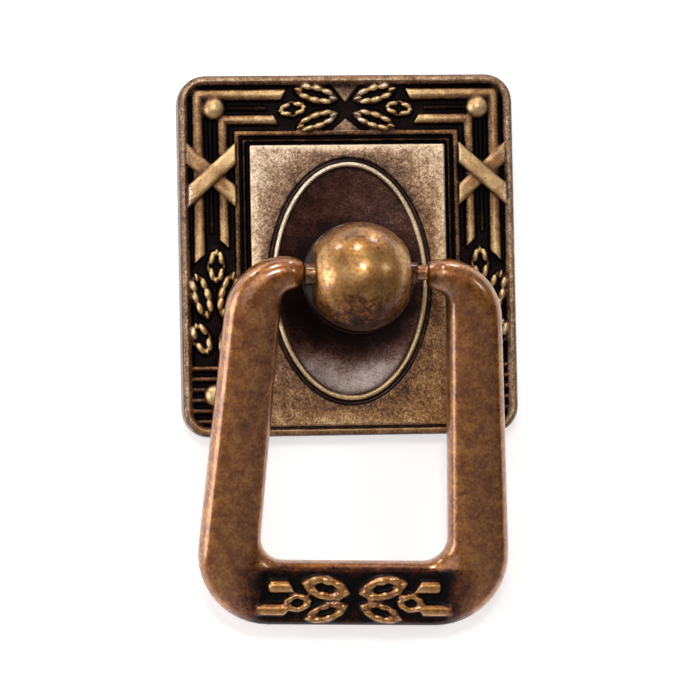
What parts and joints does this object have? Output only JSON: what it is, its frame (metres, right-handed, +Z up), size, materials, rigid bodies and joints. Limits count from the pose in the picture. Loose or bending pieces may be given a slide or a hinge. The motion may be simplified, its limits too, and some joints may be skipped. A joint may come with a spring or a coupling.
{
  "type": "cabinet handle",
  "caption": "Cast brass drop pull: ornamented rectangular backplate, post with a ball head, and a swinging bail with a carved grip bar.",
  "frame": {"origin": "on the axis of the fixing thread, in the plane of the plate's back", "axes": "+Y from the plate's back into the furniture front, +Z up the plate, +X to the right of someone who faces the handle"},
  "size_m": [0.042, 0.0196, 0.0687],
  "materials": {
    "antique_brass": "cast brass, dark antique patina in the hollows and rubbed high spots"
  },
  "bodies": {
    "plate": {"backplate": "antique_brass", "post": "antique_brass"},
    "bail": {"bail": "antique_brass"}
  },
  "joints": [
    {"name": "bail_swing", "type": "hinge", "parent": "plate", "child": "bail", "pos_m": [0.00055, -0.0129, 0.0004], "axis": [-1, 0, 0], "range_deg": [0, 209]}
  ]
}
